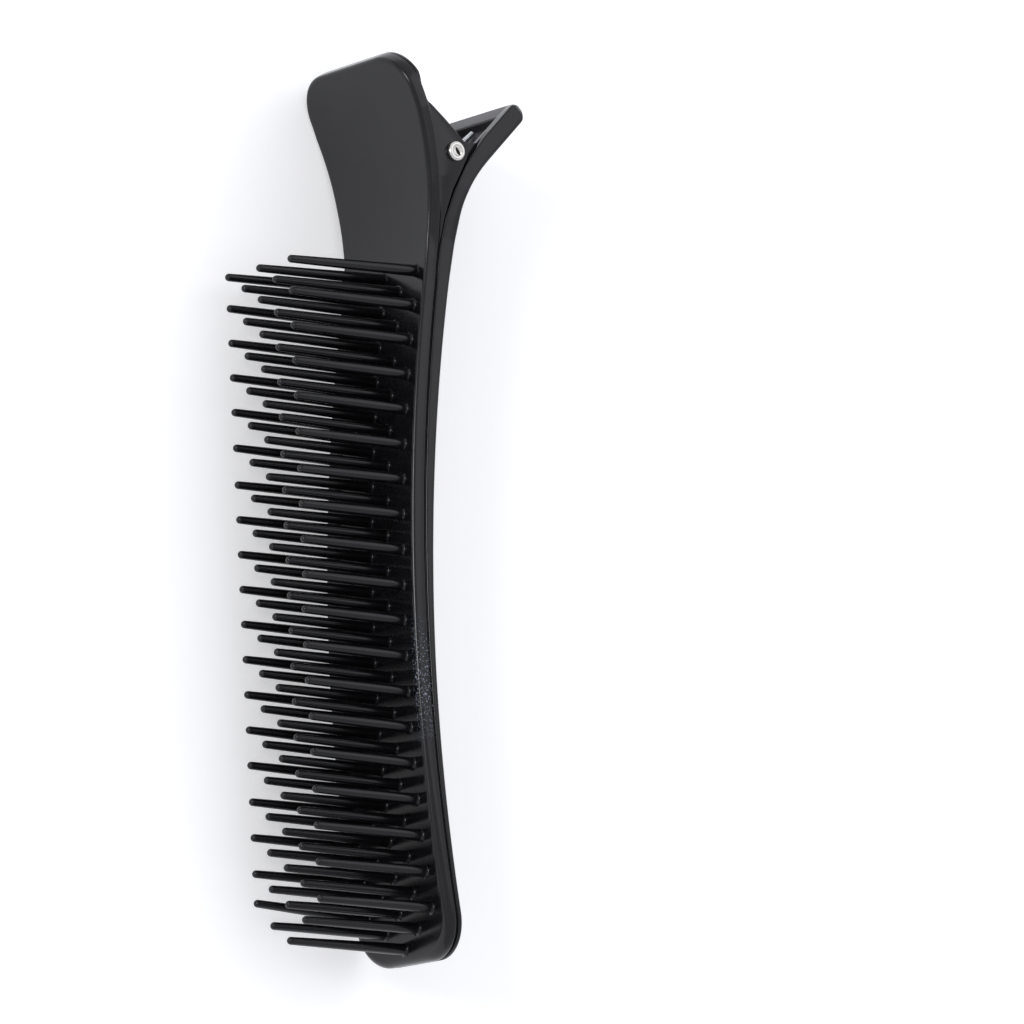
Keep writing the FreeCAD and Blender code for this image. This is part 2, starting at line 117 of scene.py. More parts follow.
def outline(start, finish, half, corner_start, corner_finish, dense, arch=0.0):
    """Closed loop of (length, width) points: sides that follow the half width, two round
    corners at each end, and a start edge arched by `arch` at its middle."""
    wide_start, wide_finish = half(start + corner_start), half(finish - corner_finish)
    edge = np.linspace(0, wide_start - corner_start, EDGE_POINTS)[:-1]
    turn = np.linspace(0, np.pi / 2, CORNER_POINTS)
    dense_start = max(dense[0], start + corner_start + CORNER_GAP)
    fine = np.arange(dense_start, dense[1], FINE_STEP)
    before = np.arange(start + corner_start, dense_start - CORNER_GAP / 2, COARSE_STEP)[1:]
    after = np.linspace(dense[1], finish - corner_finish, FAR_SIDE_POINTS)[:-1]
    along = np.concatenate([before, fine, after])
    low_turn = np.linspace(0, np.pi / 2, FAR_CORNER_POINTS)
    low_edge = np.linspace(wide_finish - corner_finish, 0, EDGE_POINTS)[1:]
    s = np.concatenate([
        np.full(len(edge), start),
        start + corner_start * (1 - np.cos(turn)),
        along,
        finish - corner_finish * (1 - np.sin(low_turn)),
        np.full(len(low_edge), finish)])
    w = np.concatenate([
        edge,
        wide_start - corner_start * (1 - np.sin(turn)),
        half(along),
        wide_finish - corner_finish * (1 - np.cos(low_turn)),
        low_edge])
    s = s - arch * np.clip(1 - (w / wide_start) ** 2, 0, 1) * (
        s < start + ARCH_REACH)
    s = np.concatenate([s, s[-2:0:-1]])
    w = np.concatenate([w, -w[-2:0:-1]])
    ahead = np.stack([np.roll(s, -1) - np.roll(s, 1), np.roll(w, -1) - np.roll(w, 1)], 1)
    ahead /= np.hypot(ahead[:, 0], ahead[:, 1])[:, None]
    return s, w, np.stack([ahead[:, 1], -ahead[:, 0]], 1)


def lay_on(curve, s, w, depth):
    """Points at length s and width w of a curve, sunk by depth along its normal."""
    points, normals, run = curve
    x = np.interp(s, run, points[:, 0])
    y = np.interp(s, run, points[:, 1])
    nx = np.interp(s, run, normals[:, 0])
    ny = np.interp(s, run, normals[:, 1])
    over = np.minimum(s, 0.0) + np.maximum(s - run[-1], 0.0)
    x = x + over * ny
    y = y - over * nx
    return np.stack([x + depth * nx, y + depth * ny, w + 0 * s], 1)


MERGE = 2e-6                           # metres between points that are one point


def add_mesh(name, vertices, faces, smooth_angle=40.0):
    """A mesh object from hinge millimetres: doubles merged, faces outwards, edges smoothed."""
    mesh = bpy.data.meshes.new(name)
    mesh.from_pydata(((vertices + hinge) * MM).tolist(), [], faces.tolist())
    made = bpy.data.objects.new(name, mesh)
    bpy.context.collection.objects.link(made)
    bpy.context.view_layer.objects.active = made
    for other in bpy.context.selected_objects:
        other.select_set(False)
    made.select_set(True)
    bpy.ops.object.mode_set(mode="EDIT")
    bpy.ops.mesh.select_all(action="SELECT")
    bpy.ops.mesh.remove_doubles(threshold=MERGE)
    bpy.ops.mesh.dissolve_degenerate(threshold=MERGE)
    bpy.ops.mesh.normals_make_consistent(inside=False)
    bpy.ops.object.mode_set(mode="OBJECT")
    bpy.ops.object.shade_smooth_by_angle(angle=math.radians(smooth_angle))
    made.select_set(False)
    return made


def ring_faces(rings, count):
    """Four-cornered faces between neighbouring rings of `count` points each."""
    ring, step = np.meshgrid(np.arange(rings - 1), np.arange(count), indexing="ij")
    after = ring + 1
    beside = (step + 1) % count
    return np.stack([
        ring * count + step, ring * count + beside,
        after * count + beside, after * count + step], -1).reshape(-1, 4)


def to_spine(s, w, start, finish, half, share):
    """Moves loop points a share of the way to the middle line of the plan."""
    spine = np.clip(s, start + half, finish - half)
    return s + (spine - s) * share, w * (1 - share)


FACE_JOIN = 19.5
PADDLE_CENTRE, PADDLE_RADIUS = (12.2, -56.83), 51.85
JAW_CENTRE, JAW_RADIUS = (65.65, 291.2), 300.2
SEAM_CENTRE, SEAM_RADIUS = (66.0, 313.5), 319.9
PADDLE_END, JAW_END = -13.9, 124.0
PLATE_THICK, PLATE_EDGE, FLANGE_DEPTH = 1.6, 2.2, 2.9
JOIN_REACH, JOIN_SHARE = 4, 0.35       # how far, and how much, the two face arcs are eased

face_x = np.concatenate([
    np.linspace(PADDLE_END, FACE_JOIN, 260), np.linspace(FACE_JOIN, JAW_END, 400)[1:]])
face_y = np.where(face_x < FACE_JOIN, arc_height(PADDLE_CENTRE, PADDLE_RADIUS, 1, face_x),
                  arc_height(JAW_CENTRE, JAW_RADIUS, -1, face_x))
blend_x = (face_x > FACE_JOIN - JOIN_REACH) & (face_x < FACE_JOIN + JOIN_REACH)
face_y[blend_x] = np.interp(
    face_x[blend_x], [FACE_JOIN - JOIN_REACH, FACE_JOIN + JOIN_REACH],
    [face_y[~blend_x & (face_x < FACE_JOIN)][-1], face_y[~blend_x & (face_x > FACE_JOIN)][0]],
) * JOIN_SHARE + face_y[blend_x] * (1 - JOIN_SHARE)
face_curve = polyline(face_x, face_y)
face_length = face_curve[2][-1]


def at_x(curve, x):
    """Running length of a curve where it passes x."""
    return np.interp(x, curve[0][:, 0], curve[2])


def plate_half(s):
    """Half width of the plate at a running length of the face."""
    x = np.interp(s, face_curve[2], face_curve[0][:, 0])
    return np.interp(x, [-5.6, 0.8, 5.7, 9.75, 14.0, 20.0, 117.6],
                     [13.7, 12.95, 12.35, 11.7, 11.1, 11.0, 12.1])


def flange_half(x):
    """Half width of the skirt below the plate."""
    return np.interp(x, [-13.0, -11.0, -9.2, -7.6, -6.2, 4.5, 9.75, 14.0, 20.0, 117.6],
                     [13.55, 13.4, 12.95, 12.3, 11.85, 11.85, 11.5, 10.95, 10.85, 11.95])


# The skirt's edge: paddle rim, blend, ear round the rivet, back slope, then the seam.
paddle_run = np.linspace(0, at_x(face_curve, -5.2), 40)
paddle_back = lay_on(face_curve, paddle_run, 0.0, FLANGE_DEPTH)[:, :2]
EAR_RADIUS, SEAM_GAP = 2.45, 0.06       # the gap is half of the line between the two mouldings
ear_turn = np.linspace(math.atan2(1.65, -1.90), math.atan2(2.055, 1.03), 24)
seam_x = np.linspace(20.0, JAW_END + 3, 200)
front_profile = np.concatenate([
    [[-20.0, -13.0]], paddle_back[paddle_back[:, 0] < -9.6],
    [[-8.9, -6.2], [-8.2, -5.6], [-7.4, -4.85], [-6.64, -4.0], [-4.73, -1.6], [-2.8, 0.62]],
    EAR_RADIUS * np.stack([np.cos(ear_turn), np.sin(ear_turn)], 1),
    [[6.0, -0.35], [10.0, -1.78], [15.6, -2.72], [18.0, -2.98]],
    np.stack([seam_x, arc_height(SEAM_CENTRE, SEAM_RADIUS + SEAM_GAP, -1, seam_x)], 1)])
front_rim = ray_depth(face_curve[0], face_curve[1], front_profile)
front_rim[:3] = FLANGE_DEPTH            # the first rays pass the end of the profile

PADDLE_CORNER, JAW_CORNER, SPINE_HALF = 6.3, 6.8, 12.0
STEP_BACK = 0.12                       # least set back of the skirt below the plate
s, w, inward = outline(0.0, face_length, plate_half, PADDLE_CORNER, JAW_CORNER,
                       (at_x(face_curve, -8.5), at_x(face_curve, 13.0)))
x_here = np.interp(s, face_curve[2], face_curve[0][:, 0])
rim = np.interp(s, face_curve[2], front_rim)
edge = np.minimum(PLATE_EDGE, rim - 0.30)
roundness = np.interp(x_here, [-14, 2, 12, 85, 112, 124], [0.6, 0.7, 0.45, 0.6, 1.2, 1.4])
roundness = np.minimum(roundness, edge - 0.2)
on_side = np.clip((np.abs(inward[:, 1]) - 0.5) / 0.4, 0, 1)
set_back = np.clip(np.abs(w) - flange_half(x_here), STEP_BACK, 2.2) * on_side
set_back = np.maximum(set_back, STEP_BACK)
cavity_half = np.interp(x_here, [9.0, 10.2], [10.9, 9.7])
cavity_start, cavity_finish = at_x(face_curve, -11.6), at_x(face_curve, 121.4)
inner_s = np.clip(s, cavity_start, cavity_finish)
inner_w = np.clip(w, -cavity_half, cavity_half)
inner_rim = np.interp(inner_s, face_curve[2], front_rim)

rings = []


def ring(inset, depth):
    rings.append(lay_on(face_curve, s + inset * inward[:, 0], w + inset * inward[:, 1], depth))


face_s, face_w = s + roundness * inward[:, 0], w + roundness * inward[:, 1]
for share in (1.0, 0.85, 0.65, 0.45, 0.25, 0.1, 0.03):
    rings.append(lay_on(
        face_curve, *to_spine(face_s, face_w, 0, face_length, SPINE_HALF, share), 0.0))
for angle in np.radians([0, 8, 20, 34, 48, 62, 76, 90]):
    ring(roundness * (1 - np.sin(angle)), roundness * (1 - np.cos(angle)))
LIP = 0.22                             # rounding of the plate's lower edge
for angle in np.radians([0, 30, 60, 90]):
    ring(LIP * (1 - np.cos(angle)), edge - LIP + LIP * np.sin(angle))
ring(set_back + 0.10, edge)
ring(set_back + 0.12, edge + 0.10)
ring(set_back, edge + 0.16)
RIM_ROUND = 0.16                       # rounding of the skirt's rim
skirt = np.maximum(rim - RIM_ROUND, edge + 0.17)
ring(set_back, skirt)
ring(set_back + 0.05, np.maximum(rim - 0.05, skirt))
ring(set_back + RIM_ROUND, np.maximum(rim, skirt))
rings.append(lay_on(face_curve, inner_s, inner_w, np.maximum(inner_rim, PLATE_THICK + 0.3)))
rings.append(lay_on(face_curve, inner_s, inner_w, PLATE_THICK))
for share in (0.1, 0.5, 1.0):
    rings.append(lay_on(face_curve, *to_spine(
        inner_s, inner_w, 0, face_length, SPINE_HALF, share), PLATE_THICK))
front_jaw = add_mesh("front_jaw_moulding", np.concatenate(rings), ring_faces(len(rings), len(s)))


def linear(hex_colour):
    """sRGB hex value to the linear colour that the shaders take."""
    value = np.array([int(hex_colour[i:i + 2], 16) for i in (1, 3, 5)]) / 255
    value = np.where(value <= 0.04045, value / 12.92, ((value + 0.055) / 1.055) ** 2.4)
    return (*value, 1.0)


def node(tree, kind, settings=(), stops=(), **sockets):
    """Adds a node: settings by attribute, colour stops as (place, grey or hex), and sockets by
    name or number (i0, i1), each with a value or an output to link."""
    made = tree.nodes.new(kind)
    for key, value in dict(settings).items():
        setattr(made, key, value)
    for index, (place, tone) in enumerate(stops):
        if index >= len(made.color_ramp.elements):
            made.color_ramp.elements.new(place)
        stop = made.color_ramp.elements[index]
        stop.position = place
        stop.color = linear(tone) if isinstance(tone, str) else (tone, tone, tone, 1.0)
    for key, value in sockets.items():
        numbered = key[0] == "i" and key[1:].isdigit()
        socket = made.inputs[int(key[1:]) if numbered else key.replace("_", " ")]
        if isinstance(value, bpy.types.NodeSocket):
            tree.links.new(value, socket)
        else:
            socket.default_value = value
    return made


def new_material(name):
    """An empty node material and its tree."""
    material = bpy.data.materials.new(name)
    material.use_nodes = True
    tree = material.node_tree
    tree.nodes.clear()
    return material, tree


# Patterns, as repeats in a metre: flow ripple every 4.5 mm, skin grain every 0.4 mm and scuff
# specks of 0.3 mm.
FLOW_SCALE, GRAIN_SCALE, SCUFF_SCALE = 220.0, 2600.0, 3200.0
SCUFF_FADE, SCUFF_FULL = 0.0238, 0.0245   # metres up at which the rub marks start and are full


# Black nylon 66, injection moulded in a polished tool: nearly black through the skin, with a
# broad satin gloss, faint flow ripple and the rare pale rub mark.
def moulded_nylon(name, scuff_low=None, scuff_high=None):
    material, tree = new_material(name)
    place = node(tree, "ShaderNodeTexCoord").outputs["Object"]
    flow = node(tree, "ShaderNodeTexNoise", Vector=place, Scale=FLOW_SCALE, Detail=3.0)
    grain = node(tree, "ShaderNodeTexNoise", Vector=place, Scale=GRAIN_SCALE, Detail=2.0)
    tone = node(tree, "ShaderNodeValToRGB", stops=[(0.35, "#08080A"), (0.65, "#0D0D10")],
                Fac=flow.outputs["Fac"]).outputs["Color"]
    rough = node(tree, "ShaderNodeValToRGB", stops=[(0.3, 0.17), (0.7, 0.22)],
                 Fac=grain.outputs["Fac"]).outputs["Color"]
    ripple = node(tree, "ShaderNodeBump", Height=flow.outputs["Fac"], Strength=0.03,
                  Distance=0.0003)
    skin = node(tree, "ShaderNodeBump", Height=grain.outputs["Fac"], Strength=0.02,
                Distance=0.00003, Normal=ripple.outputs["Normal"])
    colour = tone
    if scuff_low is not None:
        specks = node(tree, "ShaderNodeTexNoise", Vector=place, Scale=SCUFF_SCALE, Detail=4.0)
        dots = node(tree, "ShaderNodeValToRGB", stops=[(0.57, 0.0), (0.66, 1.0)],
                    Fac=specks.outputs["Fac"]).outputs["Color"]
        parts = node(tree, "ShaderNodeSeparateXYZ", Vector=place)
        middle = (scuff_low + scuff_high) / 2
        reach = (scuff_high - scuff_low) / 2
        near = node(tree, "ShaderNodeMath", {"operation": "SUBTRACT"}, i0=parts.outputs["X"],
                    i1=middle)
        near = node(tree, "ShaderNodeMath", {"operation": "ABSOLUTE"}, i0=near.outputs[0])
        near = node(tree, "ShaderNodeMapRange", Value=near.outputs[0], From_Min=reach * 0.3,
                    From_Max=reach, To_Min=1.0, To_Max=0.0)
        high = node(tree, "ShaderNodeMapRange", Value=parts.outputs["Z"], From_Min=SCUFF_FADE,
                    From_Max=SCUFF_FULL, To_Min=0.0, To_Max=1.0)
        mask = node(tree, "ShaderNodeMath", {"operation": "MULTIPLY"}, i0=near.outputs[0],
                    i1=high.outputs[0])
        mask = node(tree, "ShaderNodeMath", {"operation": "MULTIPLY"}, i0=mask.outputs[0], i1=dots)
        mixed = node(tree, "ShaderNodeMix", {"data_type": "RGBA"}, Factor=mask.outputs[0])
        tree.links.new(tone, mixed.inputs[6])
        mixed.inputs[7].default_value = linear("#7F8796")
        colour = mixed.outputs[2]
    shader = node(tree, "ShaderNodeBsdfPrincipled", Base_Color=colour, Roughness=rough,
                  Normal=skin.outputs["Normal"], IOR=1.42)
    node(tree, "ShaderNodeOutputMaterial", Surface=shader.outputs["BSDF"])
    return material


SCUFF_LOW, SCUFF_HIGH = (72.0 + hinge[0]) * MM, (92.0 + hinge[0]) * MM
front_nylon = moulded_nylon("black_nylon_moulded_front", SCUFF_LOW, SCUFF_HIGH)
front_jaw.data.materials.append(front_nylon)
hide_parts("front_jaw")
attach(front_jaw, "front_jaw_body")


# ---------------------------------------------------------------- pins
# Five staggered columns of long nylon pins, moulded with the plate: round, slightly tapered,
# with a ball tip and a fillet at the foot. They cooled a little off square.
PIN_NAMES = ["a", "b", "c", "d", "e"]
FIRST_ROW, ROW_PITCH, COLUMN_PITCH = 18.53, 5.42, 4.16
TIP_Y, TIP_SLOPE = -28.95, 0.037
TIP_FIRST, TIP_PITCH = 19.06, 5.33
ROWS, MIDDLE_ROWS = 19, 20
LEAN_AT = [0, 2, 9, 12, 20, 28, 30, 33, 37]
LEAN = [0.0, -0.5, -0.5, 0.0, 0.0, 0.16, 0.4, 0.55, 0.95]
PIN_FOOT, PIN_TIP = 0.90, 0.61
FILLET, FILLET_HEIGHT = 0.22, 0.55
AROUND = 20
LONG_PIN_EXTRA, BENT_PIN_SHIFT = 0.4, 1.1      # three long pins and one bent corner pin


def pin(root, tip):
    """Round rod from root to tip: radius tapers, flares by a quarter round at the foot and
    closes in a half ball at the tip."""
    turn = np.linspace(0, 2 * np.pi, AROUND, endpoint=False)
    way = tip - root
    length = np.linalg.norm(way)
    way = way / length
    across = np.cross(way, [0, 0, 1.0])
    across /= np.linalg.norm(across)
    other = np.cross(way, across)
    foot = np.linspace(0, 1, 6) ** 1.4
    ball = np.radians([0, 20, 40, 60, 78, 90])
    height = np.concatenate([
        [-0.3], foot * FILLET_HEIGHT, np.array([0.3, 0.55, 0.8]) * length,
        length - PIN_TIP + PIN_TIP * np.sin(ball)])
    radius = np.concatenate([
        [PIN_FOOT + FILLET], PIN_FOOT + FILLET * (1 - np.sqrt(1 - (1 - foot) ** 2)),
        PIN_FOOT + (PIN_TIP - PIN_FOOT) * np.array([0.3, 0.55, 0.8]),
        PIN_TIP * np.cos(ball)])
    radius[1] = PIN_FOOT + FILLET
    return (root[None, None] + height[:, None, None] * way
            + radius[:, None, None] * (np.cos(turn)[None, :, None] * across
                                       + np.sin(turn)[None, :, None] * other)).reshape(-1, 3)


PIN_RINGS = 16
pin_nylon = moulded_nylon("black_nylon_moulded_pins")
for column, letter in enumerate(PIN_NAMES):
    vertices, faces = [], []
    rows = MIDDLE_ROWS if column == 2 else ROWS
    for row in range(rows):
        step = row + 0.5 * (column % 2)
        root_x = FIRST_ROW + step * ROW_PITCH
        tip_x = TIP_FIRST + TIP_PITCH * step + np.interp(2 * step, LEAN_AT, LEAN)
        tip_y = TIP_Y + TIP_SLOPE * step * ROW_PITCH
        wide = (column - 2) * COLUMN_PITCH
        if column == 4 and 10 <= row <= 12:
            tip_y -= LONG_PIN_EXTRA
        if column == 0 and row == rows - 1:
            tip_x -= BENT_PIN_SHIFT
        root = np.array([root_x, arc_height(JAW_CENTRE, JAW_RADIUS, -1, root_x), wide])
        tip = np.array([tip_x, tip_y, wide])
        faces.append(ring_faces(PIN_RINGS, AROUND) + sum(map(len, vertices)))
        vertices.append(pin(root, tip))
    column_object = add_mesh("pins_" + letter, np.concatenate(vertices), np.concatenate(faces),
                             60.0)
    column_object.data.materials.append(pin_nylon)
    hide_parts("bristle_column_" + letter)
    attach(column_object, "front_jaw_body")


# ---------------------------------------------------------------- rear jaw moulding
# The second nylon moulding: a thin curved back, a short lever bent away from the paddle with
# a shallow recess, and two inner ears that turn on the rivet between the front ears.
BACK_CENTRE, BACK_RADIUS = (71.2, 296.75), 301.66
LEVER_TILT = math.radians(43.75)
LEVER_ALONG = np.array([-math.cos(LEVER_TILT), math.sin(LEVER_TILT)])
LEVER_OUT = np.array([math.sin(LEVER_TILT), math.cos(LEVER_TILT)])
BEND_X = 10.2
BEND_START = np.array([BEND_X, arc_height(BACK_CENTRE, BACK_RADIUS, -1, BEND_X)])
BEND_END = np.array([0.12, 7.15])
LEVER_LENGTH, LEVER_THICK, LEVER_FLOOR, BACK_FLOOR = 10.8, 3.15, 1.8, 0.9
REAR_END = 123.5

bend_share = np.linspace(0, 1, 40)[:, None]
bend_pull = 5.2 * 0.8                 # how far the bend holds each end's direction
first_way = np.array([1.0, (BEND_X - BACK_CENTRE[0]) / (BACK_CENTRE[1] - BEND_START[1])])
control_a = BEND_END - LEVER_ALONG * bend_pull
control_b = BEND_START - first_way * bend_pull
bend_points = ((1 - bend_share) ** 3 * BEND_END
               + 3 * (1 - bend_share) ** 2 * bend_share * control_a
               + 3 * (1 - bend_share) * bend_share ** 2 * control_b
               + bend_share ** 3 * BEND_START)
lever_points = BEND_END + np.linspace(LEVER_LENGTH, 0, 60)[:-1, None] * LEVER_ALONG
back_x = np.linspace(BEND_X, REAR_END, 400)[1:]
back_y = arc_height(BACK_CENTRE, BACK_RADIUS, -1, back_x)
back_all = np.concatenate([lever_points, bend_points, np.stack([back_x, back_y], 1)])
back_points, back_normals, back_run = polyline(back_all[:, 0], back_all[:, 1])
back_curve = (back_points, -back_normals, back_run)
back_length = back_run[-1]

lever_tip_rim = lever_points[0] - LEVER_THICK * LEVER_OUT
rim_direction = -LEVER_ALONG
seam_rear = np.stack([seam_x, arc_height(SEAM_CENTRE, SEAM_RADIUS - SEAM_GAP, -1, seam_x)], 1)
outer_profile = np.concatenate([
    [lever_tip_rim - rim_direction * 3, lever_tip_rim + rim_direction * 9.6],
    [[1.7, 2.2], [4.0, 0.95], [6.0, -0.04], [10.0, -1.48], [15.6, -2.58], [18.0, -2.86]],
    seam_rear])
# The inner ear's round end, from its front edge round below the rivet.
INNER_EAR_RADIUS, LEVER_SPAN = 1.9, 8.0
rear_ear_turn = np.linspace(math.pi - 0.21, math.pi * 2 - 1.304, 24)
inner_profile = np.concatenate([
    [lever_tip_rim - rim_direction * 3, [-2.0, 4.75]],
    INNER_EAR_RADIUS * np.stack([np.cos(rear_ear_turn), np.sin(rear_ear_turn)], 1),
    [[8.5, -1.6], [15.6, -2.58], [18.0, -2.86]], seam_rear])
outer_rim = ray_depth(back_curve[0], back_curve[1], outer_profile)
inner_rim_all = ray_depth(back_curve[0], back_curve[1], inner_profile)
inner_rim_all = np.maximum(inner_rim_all, outer_rim)
outer_rim[back_run < LEVER_SPAN] = LEVER_THICK
inner_rim_all[back_run < LEVER_SPAN] = LEVER_THICK


LEVER_HALF = 11.75


def rear_half(length):
    """Half width of the rear jaw at a running length of its back."""
    x = np.interp(length, back_run, back_points[:, 0])
    lever_or_jaw = np.interp(x, [6.0, 14.0, 20.0, 117.6], [LEVER_HALF, 10.95, 10.85, 11.95])
    return np.where(length < LEVER_LENGTH + 4, LEVER_HALF, lever_or_jaw)


TIP_ARCH, TIP_ROUND = 0.35, 2.7


def rear_point(s, w, depth):
    """Points of the rear jaw: laid on its back line, with the lever's tip rounded off as a
    half circle across its thickness."""
    near = np.clip((s + TIP_ARCH) / TIP_ROUND, 0.02, 1.0)
    middle = LEVER_THICK / 2
    swell = np.sqrt(1 - (1 - near) ** 2)
    return lay_on(back_curve, s, w, middle + (depth - middle) * swell)


LEVER_CORNER, REAR_CORNER, REAR_SPINE_HALF = 2.2, 6.6, 11.0
EAR_REACH = 11                         # the ears end this far past the bend
# Half widths: the ears' outer faces, the recess at its rim, below it and on its floor.
EAR_HALF, RECESS_HALF, SILL_HALF, FLOOR_HALF = 10.75, 9.9, 9.75, 9.7
RECESS_START, END_WALL, SILL = 4.16, 3.2, 0.25

s, w, inward = outline(0.0, back_length, rear_half, LEVER_CORNER, REAR_CORNER,
                       (LEVER_CORNER, LEVER_LENGTH + 16.0), arch=TIP_ARCH)
endness = np.clip((np.abs(inward[:, 0]) - 0.2) / 0.7, 0, 1) * (s < LEVER_SPAN)
rim = np.interp(s, back_run, outer_rim)
rim_two = np.interp(s, back_run, inner_rim_all)
back_round = np.minimum(0.6 + 0.7 * endness, rim * 0.48)
rim_round = np.minimum(0.25 + 0.9 * endness, rim * 0.45)
ear_wall = np.clip(w, -EAR_HALF, EAR_HALF)
cavity_finish = back_length - END_WALL
inner_s = np.clip(s, RECESS_START, cavity_finish)
inner_w = np.clip(w, -RECESS_HALF, RECESS_HALF)
inner_depth = np.interp(inner_s, back_run, inner_rim_all)
floor_s = np.clip(s, RECESS_START + SILL, cavity_finish)
floor_w = np.clip(w, -FLOOR_HALF, FLOOR_HALF)
floor_depth = np.interp(s, [0, LEVER_LENGTH, LEVER_LENGTH + EAR_REACH, back_length],
                        [LEVER_FLOOR, LEVER_FLOOR, BACK_FLOOR, BACK_FLOOR])
rings = []


def back_ring(inset, depth):
    rings.append(rear_point(s + inset * inward[:, 0], w + inset * inward[:, 1], depth))


back_s, back_w = s + back_round * inward[:, 0], w + back_round * inward[:, 1]
for share in (1.0, 0.8, 0.5, 0.2, 0.05):
    rings.append(rear_point(*to_spine(back_s, back_w, 0, back_length,
                                     REAR_SPINE_HALF, share), 0.0))
for angle in np.radians([0, 15, 30, 45, 60, 75, 90]):
    back_ring(back_round * (1 - np.sin(angle)), back_round * (1 - np.cos(angle)))
for angle in np.radians([0, 22, 45, 68, 90]):
    back_ring(rim_round * (1 - np.cos(angle)), rim - rim_round + rim_round * np.sin(angle))
at_ears = (s > LEVER_LENGTH - 3) & (s < LEVER_LENGTH + EAR_REACH) & (np.abs(w) > 9)
ledge_s = np.where(at_ears, s, s + (rim_round + 0.05) * inward[:, 0])
ledge_w = np.where(at_ears, ear_wall, w + (rim_round + 0.05) * inward[:, 1])
rings.append(rear_point(ledge_s, ledge_w, rim))
rings.append(rear_point(ledge_s, ledge_w, np.interp(ledge_s, back_run, inner_rim_all)))
rings.append(rear_point(inner_s, inner_w, inner_depth))
rings.append(rear_point(floor_s, np.clip(w, -SILL_HALF, SILL_HALF), inner_depth - 0.2))
rings.append(rear_point(floor_s, floor_w, floor_depth))
for share in (0.1, 0.5, 1.0):
    rings.append(rear_point(*to_spine(floor_s, floor_w, 0, back_length, REAR_SPINE_HALF, share),
                            floor_depth))
rear_jaw = add_mesh("rear_jaw_moulding", np.concatenate(rings), ring_faces(len(rings), len(s)))
rear_jaw.data.materials.append(moulded_nylon("black_nylon_moulded_rear"))

# Inside the lever's recess: the same nylon, matt, and painted a shade lighter. The lighter tone is
# painted light, standing in for the light that the recess floor and walls reflect.
recess_lightened_nylon, tree = new_material("black_nylon_recess_painted_light")
place = node(tree, "ShaderNodeTexCoord").outputs["Object"]
pits = node(tree, "ShaderNodeTexNoise", Vector=place, Scale=5000.0, Detail=2.0)
# Painted light: greys well above the moulding's near black, for the reflected light in the recess.
tone = node(tree, "ShaderNodeValToRGB", stops=[(0.3, "#2C2C30"), (0.7, "#3A3A3E")],
            Fac=pits.outputs["Fac"]).outputs["Color"]
bump = node(tree, "ShaderNodeBump", Height=pits.outputs["Fac"], Strength=0.1, Distance=0.00004)
shader = node(tree, "ShaderNodeBsdfPrincipled", Base_Color=tone, Roughness=0.5,
              Normal=bump.outputs["Normal"], IOR=1.53)
node(tree, "ShaderNodeOutputMaterial", Surface=shader.outputs["BSDF"])
rear_jaw.data.materials.append(recess_lightened_nylon)
centres = np.empty(len(rear_jaw.data.polygons) * 3)
rear_jaw.data.polygons.foreach_get("center", centres)
centres = centres.reshape(-1, 3) / MM - hinge
out, on = centres[:, :2] @ LEVER_OUT, centres[:, :2] @ LEVER_ALONG
# The faces inside the lever's recess take the lighter nylon that is painted light.
inside = (on > -1.0) & (np.abs(centres[:, 2]) < 9.78) & (out > 2.0) & (out < 3.7)
rear_jaw.data.polygons.foreach_set("material_index", inside.astype(np.int32))
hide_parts("rear_jaw")
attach(rear_jaw, "rear_jaw_body")


# ---------------------------------------------------------------- hinge rivet
# A nickel plated brass rivet through all four ears: a domed factory head below, and above a
# hollow end that was rolled over, which leaves a narrow slot a little off its centre.
SEAT, HEAD, SHANK = 11.87, 1.52, 1.00
HEAD_TOP, ROLL, FAR_HEAD = 12.62, 0.42, 1.75
RIVET_AROUND = 48
turn = np.linspace(0, 2 * np.pi, RIVET_AROUND, endpoint=False)
far_dome = np.radians([0, 15, 30, 45, 60, 75, 88])
lip_turn = np.radians([0, 20, 40, 60, 80, 100, 120, 140])
rivet_radius = np.concatenate([
    FAR_HEAD * np.sin(far_dome), [FAR_HEAD, FAR_HEAD, SHANK, SHANK, HEAD - 0.1, HEAD],
    HEAD - ROLL + ROLL * np.cos(lip_turn)])
rivet_height = np.concatenate([
    -SEAT - 0.2 - 0.55 * np.cos(far_dome), [-SEAT - 0.2, -SEAT, -SEAT, SEAT, SEAT, SEAT + 0.08],
    HEAD_TOP - ROLL + ROLL * np.sin(lip_turn)])
slot_long = np.array([0.95, 0.80, 0.72, 0.68, 0.66, 0.02])
slot_narrow = np.array([0.62, 0.40, 0.29, 0.25, 0.24, 0.01])
slot_height = HEAD_TOP + np.array([-0.05, -0.13, -0.25, -0.45, -2.6, -2.6])
slot_shift = np.array([0.5, 0.8, 1.0, 1.0, 1.0, 1.0])[:, None] * np.array([0.12, 0.20])
tilt = math.radians(30)
round_rings = np.stack([
    rivet_radius[:, None] * np.cos(turn), rivet_radius[:, None] * np.sin(turn),
    np.repeat(rivet_height[:, None], RIVET_AROUND, 1)], -1)
long_way = slot_long[:, None] * np.cos(turn - tilt)
short_way = slot_narrow[:, None] * np.sin(turn - tilt)
slot_rings = np.stack([
    slot_shift[:, :1] + long_way * math.cos(tilt) - short_way * math.sin(tilt),
    slot_shift[:, 1:] + long_way * math.sin(tilt) + short_way * math.cos(tilt),
    np.repeat(slot_height[:, None], RIVET_AROUND, 1)], -1)
rivet_rings = np.concatenate([round_rings, slot_rings])
rivet = add_mesh("hinge_rivet_rolled", rivet_rings.reshape(-1, 3),
                 ring_faces(len(rivet_rings), RIVET_AROUND), 50.0)

